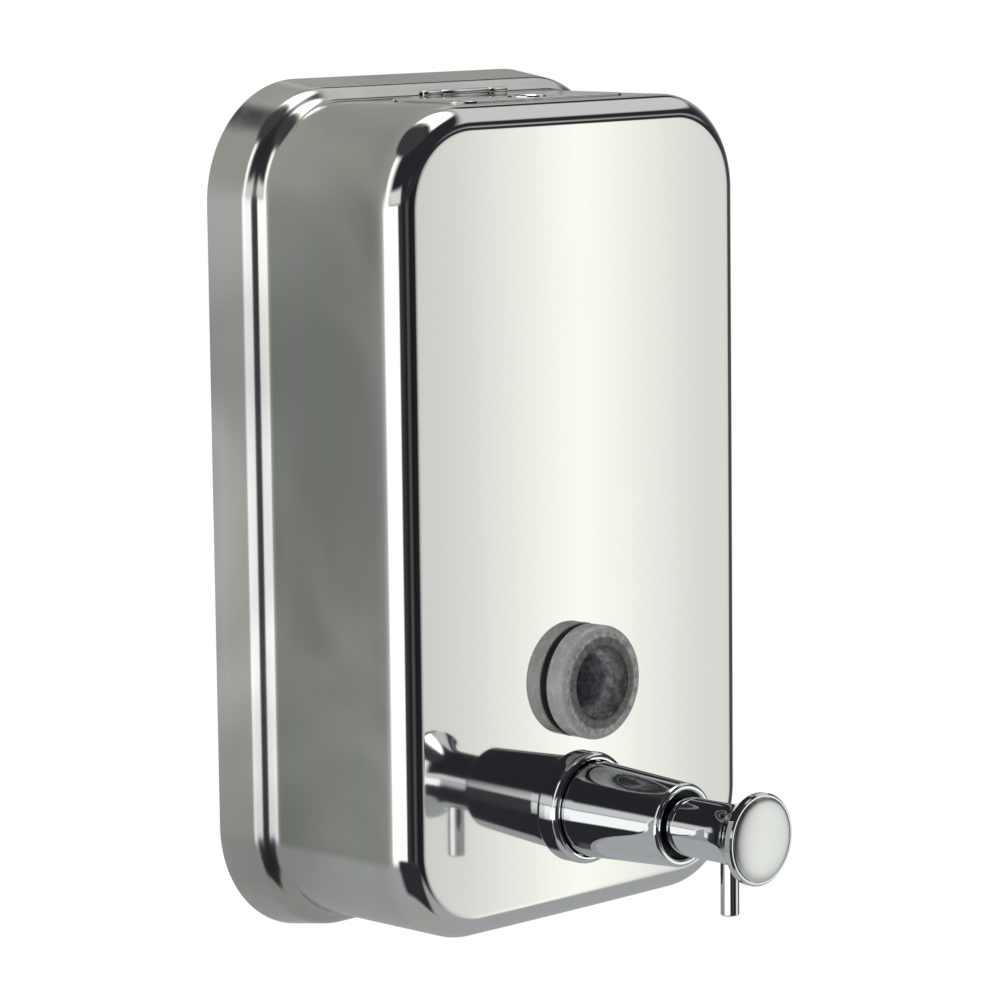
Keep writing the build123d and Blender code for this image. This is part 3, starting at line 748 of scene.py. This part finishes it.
class SOAP_OT_lock(bpy.types.Operator):
    """Make the lock's case and the plug with its key slot"""

    bl_idname = "soap.lock"
    bl_label = "Lock"

    def execute(self, context):
        low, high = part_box("lock_case")
        x, y = (low.x + high.x) / 2, (low.y + high.y) / 2
        plug_low, plug_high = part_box("lock_plug")
        plug_r = (plug_high.x - plug_low.x) / 2
        head = high.x - x
        case = bmesh.new()
        ring = [
            (plug_r + 0.00006, high.z - 0.0002, 0.0001),
            (head - 0.0005, high.z, 0.0004),
            (head, high.z - 0.0004, 0.0002),
            (head, high.z - 0.0007, 0),
            (0.0036, high.z - 0.0007, 0),
            (0.0036, low.z, 0.0002),
            (plug_r + 0.00006, low.z, 0),
        ]
        line = rounded(ring)
        line.append(line[0])
        verts, edges = drawn_line(case, line, lambda r, z: (x + r, y, z))
        bmesh.ops.spin(
            case, geom=verts + edges, cent=(x, y, 0), axis=(0, 0, 1), angle=2 * math.pi, steps=72, use_merge=True
        )
        tidied(case)
        finished("lock_head", case, "lid", finish("chrome"), ["lock_case"])
        plug = bmesh.new()
        post(plug, plug_r, plug_low.z + 0.001, plug_high.z, x, y, 0.0002, 64)
        piece = finished("lock_keyway", plug, "lock", finish("chrome"), ["lock_plug"])
        slot = bmesh.new()
        plate(
            slot,
            Vector((x - 0.0005, y - 0.0017, plug_high.z - 0.0015)),
            Vector((x + 0.0005, y + 0.0017, plug_high.z + 0.001)),
            0.0003,
            0,
        )
        cut(piece, [slot])
        sharpened(piece)
        repaint(finish("chrome"), "chrome_plate", "lock_ring_nut")
        repaint(finish("plain_steel"), "plain_steel", "lock_cam", "cam_screw")
        return {"FINISHED"}


class SOAP_OT_sight_glass(bpy.types.Operator):
    """Turn the clear plug that shows the soap's level, with its washer and nut"""

    bl_idname = "soap.sight_glass"
    bl_label = "Sight glass"

    def execute(self, context):
        low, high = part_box("sight_glass")
        height = (low.z + high.z) / 2
        flange = high.z - height
        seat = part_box("sight_gasket")[0].y
        front, back = low.y, high.y
        bore, well, stem = flange * 0.615, flange * 0.474, flange * 0.704
        step = front + 0.0052
        corners = [
            (0, back - 0.003, 0),
            (well, back - 0.003, 0.0008),
            (well, step, 0.0004),
            (bore - 0.0003, step - 0.0012, 0.0003),
            (bore, front, 0.0007),
            (flange, front, 0.0014),
            (flange, seat, 0.0003),
            (stem, seat, 0),
        ]
        pitch, crest = 0.0015, 0.0005
        turns = int((back - seat - 0.003) / pitch)
        for turn in range(turns):
            start = seat + 0.002 + turn * pitch
            corners += [(stem, start, 0), (stem - crest, start + pitch / 2, 0)]
        corners += [(stem, back - 0.0006, 0), (stem - 0.0006, back, 0), (0, back, 0)]
        bm = spun(corners, height)
        finished("sight_plug", bm, "tank", finish("sight_plastic"), ["sight_glass"])
        repaint(finish("rubber"), "rubber_seal", "sight_gasket")
        repaint(finish("white_plastic"), "white_plastic", "sight_nut")
        return {"FINISHED"}


class SOAP_OT_pump(bpy.types.Operator):
    """Turn the pump's outer parts, base ring and tapered barrel, and finish the bush in its mouth and the inner parts
    """

    bl_idname = "soap.pump"
    bl_label = "Pump"

    def execute(self, context):
        low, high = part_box("pump_escutcheon")
        height = (low.z + high.z) / 2
        ring, front, face = high.z - height, low.y, high.y + 0.0008
        barrel_low, barrel_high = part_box("pump_barrel")
        foot = barrel_high.z - height
        tip_y = barrel_low.y
        bush_low, bush_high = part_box("neck_bush")
        bore, neck = bush_high.z - height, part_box("push_button")
        groove = foot + 0.0005
        corners = [
            (groove - 0.001, face, 0),
            (ring, face, 0),
            (ring, front, 0.0016),
            (groove, front, 0.0004),
            (groove - 0.0004, front + 0.0014, 0),
            (groove - 0.001, front + 0.0014, 0),
        ]
        bm = spun(corners, height)
        finished("base_ring", bm, "tank", finish("chrome"), ["pump_escutcheon"])
        seat = front + 0.0012
        tip = 0.0098
        corners = [
            (bore, tip_y + 0.012, 0),
            (bore, tip_y, 0.0007),
            (tip, tip_y, 0.0009),
            (foot, seat - 0.0045, 0.012),
            (foot, seat, 0),
            (0.0099, seat, 0),
            (0.0099, barrel_high.y, 0.0004),
            (bore, barrel_high.y, 0),
        ]
        bm = spun(corners, height)
        finished("barrel", bm, "tank", finish("chrome"), ["pump_barrel"])
        repaint(finish("black_plastic"), "black_plastic", "neck_bush")
        repaint(finish("rubber"), "rubber_seal", "pump_gasket", "piston_seal")
        inner = ("pump_nut", "pump_cylinder", "cylinder_gland", "inlet_elbow", "piston_rod", "piston")
        repaint(finish("white_plastic"), "white_plastic", *inner)
        repaint(finish("clear_tube"), "clear_tube", "dip_tube", "drip_valve")
        repaint(finish("spring_wire"), "spring_steel", "return_spring", "inlet_ball")
        return {"FINISHED"}


class SOAP_OT_button(bpy.types.Operator):
    """Turn the push button with its flared head, domed cap and the spout under its neck"""

    bl_idname = "soap.button"
    bl_label = "Button and spout"

    def execute(self, context):
        low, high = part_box("push_button")
        height = (low.z + high.z) / 2
        head = high.z - height
        back, front = high.y, low.y
        neck = 0.0069
        cap_r = head - 0.0009
        corners = [(0.0024, back, 0), (neck, back, 0.0004), (neck, front + 0.0118, 0)]
        for step in range(1, 13):
            t = step / 12
            start, near, far, end = (neck, 0.0118), (neck, 0.0070), (0.0082, 0.0044), (head, 0.0018)
            weights = ((1 - t) ** 3, 3 * t * (1 - t) ** 2, 3 * t * t * (1 - t), t**3)
            radius = sum(w * p[0] for w, p in zip(weights, (start, near, far, end)))
            ahead = sum(w * p[1] for w, p in zip(weights, (start, near, far, end)))
            corners.append((radius, front + ahead, 0))
        corners += [
            (head, front + 0.0004, 0),
            (head - 0.0004, front, 0.0002),
            (cap_r, front, 0.00015),
            (cap_r, front + 0.0007, 0),
            (0.0024, front + 0.0007, 0),
        ]
        bm = spun(corners, height)
        finished("button_body", bm, "button", finish("chrome"), ["push_button"])
        cap_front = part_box("button_cap")[0].y
        corners = [(0, front + 0.0007, 0), (cap_r - 0.0001, front + 0.0007, 0), (cap_r - 0.0001, front, 0.00012)]
        rings = 14
        for ring in range(1, rings + 1):
            angle = math.pi / 2 * ring / rings
            corners.append((cap_r * math.cos(angle), front + (cap_front - front) * math.sin(angle) ** 0.8, 0))
        bm = spun(corners, height)
        finished("cap", bm, "button", finish("cap_chrome"), ["button_cap"])
        low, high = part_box("outlet_spout")
        y, radius = (low.y + high.y) / 2, (high.x - low.x) / 2
        spout = bmesh.new()
        profile = [(0.0014, high.z, 0), (radius, high.z, 0), (radius, low.z, 0.00035), (0.0014, low.z, 0.0002)]
        line = rounded(profile)
        line.append(line[0])
        verts, edges = drawn_line(spout, line, lambda r, z: (r, y, z))
        bmesh.ops.spin(
            spout, geom=verts + edges, cent=(0, y, 0), axis=(0, 0, 1), angle=2 * math.pi, steps=56, use_merge=True
        )
        tidied(spout)
        finished("spout", spout, "button", finish("chrome"), ["outlet_spout"])
        return {"FINISHED"}


class SOAP_OT_back(bpy.types.Operator):
    """Finish the pan, the hanger rails and the wall bracket"""

    bl_idname = "soap.back"
    bl_label = "Back and bracket"

    def execute(self, context):
        repaint(finish("plain_steel"), "plain_steel", "back_plate", "rail_left", "rail_right", "wall_bracket")
        return {"FINISHED"}


STUDIO_ROUND = [
    (-180, (0.28, 0.29, 0.28)),
    (-160, (0.24, 0.25, 0.245)),
    (-148, (0.30, 0.295, 0.305)),
    (-140, (0.25, 0.27, 0.25)),
    (-131, (0.36, 0.37, 0.355)),
    (-124, (0.40, 0.40, 0.38)),
    (-114, (0.58, 0.59, 0.58)),
    (-107, (1.35, 1.35, 1.34)),
    (-48, (1.35, 1.35, 1.34)),
    (-42, (0.06, 0.06, 0.065)),
    (-18, (0.012, 0.012, 0.014)),
    (-8, (0.10, 0.10, 0.11)),
    (4, (0.012, 0.012, 0.014)),
    (28, (0.02, 0.02, 0.022)),
    (34, (0.40, 0.41, 0.42)),
    (42, (0.80, 0.80, 0.77)),
    (46.5, (1.22, 1.22, 1.15)),
    (51, (0.82, 0.83, 0.79)),
    (60, (0.80, 0.83, 0.81)),
    (68, (0.60, 0.62, 0.60)),
    (74, (0.07, 0.07, 0.075)),
    (104, (0.07, 0.07, 0.075)),
    (118, (0.38, 0.38, 0.36)),
    (135, (0.42, 0.42, 0.40)),
    (180, (0.28, 0.29, 0.28)),
]


class SOAP_OT_stage(bpy.types.Operator):
    """Set the floor, the studio light and the camera"""

    bl_idname = "soap.stage"
    bl_label = "Stage"

    def execute(self, context):
        stage = context.scene.soap_stage
        self.floor(stage)
        self.studio(context.scene, stage)
        self.camera(context.scene, stage)
        context.scene.view_settings.view_transform = "Standard"
        return {"FINISHED"}

    def floor(self, stage):
        """A plain pale disc, well below the object."""
        bm = bmesh.new()
        place = Matrix.Translation((0, 0, -stage.floor_drop))
        bmesh.ops.create_circle(bm, cap_ends=True, segments=96, radius=stage.floor_radius, matrix=place)
        mesh = bpy.data.meshes.new("floor")
        bm.to_mesh(mesh)
        bm.free()
        floor = bpy.data.objects.new("floor", mesh)
        bpy.context.scene.collection.objects.link(floor)
        mesh.materials.append(moulded("floor_paint", (0.86, 0.86, 0.85), 0.6, bump=0.0002, scale=40.0, variation=0.02))

    def studio(self, scene, stage):
        """Soft panels all round, as a pattern on the sky: bright left, dark behind the camera, pale right."""
        world = bpy.data.worlds.new("studio")
        scene.world = world
        world.use_nodes = True
        tree = world.node_tree
        background = tree.nodes["Background"]
        direction = node(tree, "ShaderNodeTexCoord").outputs["Generated"]
        parts = node(tree, "ShaderNodeSeparateXYZ")
        tree.links.new(direction, parts.inputs["Vector"])
        back = node(tree, "ShaderNodeMath", operation="MULTIPLY")
        back.inputs[1].default_value = -1.0
        tree.links.new(parts.outputs["Y"], back.inputs[0])
        azimuth = node(tree, "ShaderNodeMath", operation="ARCTAN2")
        tree.links.new(parts.outputs["X"], azimuth.inputs[0])
        tree.links.new(back.outputs[0], azimuth.inputs[1])
        turn = node(tree, "ShaderNodeMath", operation="MULTIPLY_ADD")
        turn.inputs[1].default_value, turn.inputs[2].default_value = 1 / (2 * math.pi), 0.5
        tree.links.new(azimuth.outputs[0], turn.inputs[0])
        ramp = node(tree, "ShaderNodeValToRGB")
        set_ramp(ramp, [(degrees / 360 + 0.5, colour) for degrees, colour in STUDIO_ROUND])
        tree.links.new(turn.outputs[0], ramp.inputs["Fac"])
        colour = ramp.outputs["Color"]
        up, side, front = parts.outputs["Z"], parts.outputs["X"], back.outputs[0]
        ahead = ranged(tree, front, -0.05, 0.30, 0.0, 1.0)
        behind = ranged(tree, front, -0.30, -0.10, 1.0, 0.0)
        left = ranged(tree, side, -0.66, -0.50, 1.0, 0.0)
        right = ranged(tree, side, 0.52, 0.64, 0.0, 1.0)
        strip = self.product(tree, right, self.band(tree, front, -0.52, -0.47, -0.36, -0.28))
        panels = (
            (self.band(tree, up, -0.10, 0.35, 2.0, 2.1), behind, (0.36, 0.36, 0.34)),
            (self.band(tree, up, 0.02, 0.07, 0.16, 0.26), ahead, (0.03, 0.03, 0.035)),
            (self.band(tree, up, 0.16, 0.30, 2.0, 2.1), ahead, (0.025, 0.025, 0.03)),
            (self.band(tree, up, 0.02, 0.10, 0.22, 0.34), self.product(tree, ahead, left), (0.8, 0.8, 0.8)),
            (self.band(tree, up, 0.42, 0.50, 2.0, 2.1), right, (0.68, 0.69, 0.69)),
            (self.band(tree, up, 0.36, 0.44, 0.64, 0.72), strip, (0.03, 0.03, 0.035)),
            (
                self.band(tree, up, 0.74, 0.82, 2.0, 2.1),
                ranged(tree, side, -0.05, 0.15, 1.0, 0.0),
                (0.05, 0.05, 0.055),
            ),
            (self.band(tree, up, 0.80, 0.90, 2.0, 2.1), ranged(tree, side, 0.05, 0.2, 0.0, 1.0), (2.4, 2.4, 2.36)),
            (self.band(tree, up, -2.1, -2.0, -0.45, -0.32), None, (0.40, 0.41, 0.42)),
            (
                self.band(tree, up, -0.52, -0.44, -0.34, -0.28),
                self.product(tree, ahead, ranged(tree, side, 0.00, 0.16, 1.0, 0.0)),
                (0.05, 0.05, 0.055),
            ),
            (
                self.band(tree, up, -0.86, -0.76, -0.36, -0.28),
                self.product(tree, ahead, ranged(tree, side, 0.04, 0.20, 1.0, 0.0)),
                (0.03, 0.03, 0.035),
            ),
        )
        for height, place, shade in panels:
            layer = node(tree, "ShaderNodeMix", data_type="RGBA")
            mask = self.product(tree, height, place) if place else height
            tree.links.new(mask, layer.inputs["Factor"])
            tree.links.new(colour, layer.inputs["A"])
            layer.inputs["B"].default_value = (*shade, 1)
            colour = layer.outputs["Result"]
        seen = node(tree, "ShaderNodeMix", data_type="RGBA")
        tree.links.new(node(tree, "ShaderNodeLightPath").outputs["Is Camera Ray"], seen.inputs["Factor"])
        tree.links.new(colour, seen.inputs["A"])
        seen.inputs["B"].default_value = (1.0, 1.0, 1.0, 1)
        tree.links.new(seen.outputs["Result"], background.inputs["Color"])
        background.inputs["Strength"].default_value = stage.studio

    def band(self, tree, value, start, full, fade, end):
        """A soft-edged mask between two values."""
        return self.product(tree, ranged(tree, value, start, full, 0.0, 1.0), ranged(tree, value, fade, end, 1.0, 0.0))

    def product(self, tree, first, second):
        """Two masks multiplied."""
        made = node(tree, "ShaderNodeMath", operation="MULTIPLY")
        tree.links.new(first, made.inputs[0])
        tree.links.new(second, made.inputs[1])
        return made.outputs[0]

    def camera(self, scene, stage):
        """The camera, up and to the left of the dispenser's front."""
        place = Vector((-0.7151, -0.7406, 0.1384))
        yaw, pitch, roll = math.radians(45.29), math.radians(7.80), math.radians(0.67)
        ahead = Vector((math.sin(yaw) * math.cos(pitch), math.cos(yaw) * math.cos(pitch), -math.sin(pitch)))
        level = Vector((math.cos(yaw), -math.sin(yaw), 0))
        down = ahead.cross(level)
        right = math.cos(roll) * level + math.sin(roll) * down
        up = math.sin(roll) * level - math.cos(roll) * down
        data = bpy.data.cameras.new("camera")
        data.sensor_width, data.lens = 36.0, stage.lens
        data.clip_start, data.clip_end = 0.01, 50.0
        camera = bpy.data.objects.new("camera", data)
        turn = Matrix((right, up, -ahead)).transposed().to_4x4()
        camera.matrix_world = Matrix.Translation(place) @ turn
        scene.collection.objects.link(camera)
        scene.camera = camera


class SOAP_PT_panel(bpy.types.Panel):
    """Lists the steps in order"""

    bl_label = "Soap dispenser"
    bl_idname = "SOAP_PT_panel"
    bl_space_type = "VIEW_3D"
    bl_region_type = "UI"
    bl_category = "Soap dispenser"

    def draw(self, context):
        for step in STEPS:
            self.layout.operator(step.bl_idname)


STEPS = (
    SOAP_OT_finishes,
    SOAP_OT_case,
    SOAP_OT_lid,
    SOAP_OT_lock,
    SOAP_OT_sight_glass,
    SOAP_OT_pump,
    SOAP_OT_button,
    SOAP_OT_back,
    SOAP_OT_stage,
)
GROUPS = {"soap_case": CaseSizes, "soap_finishes": Finishes, "soap_stage": Stage}


def register():
    for name, made in GROUPS.items():
        bpy.utils.register_class(made)
        setattr(bpy.types.Scene, name, PointerProperty(type=made))
    for made in (*STEPS, SOAP_PT_panel):
        bpy.utils.register_class(made)


def unregister():
    for made in (SOAP_PT_panel, *reversed(STEPS)):
        bpy.utils.unregister_class(made)
    for name, made in GROUPS.items():
        delattr(bpy.types.Scene, name)
        bpy.utils.unregister_class(made)


def main():
    register()
    for step in STEPS:
        family, name = step.bl_idname.split(".")
        getattr(getattr(bpy.ops, family), name)()


if __name__ == "__main__":
    main()
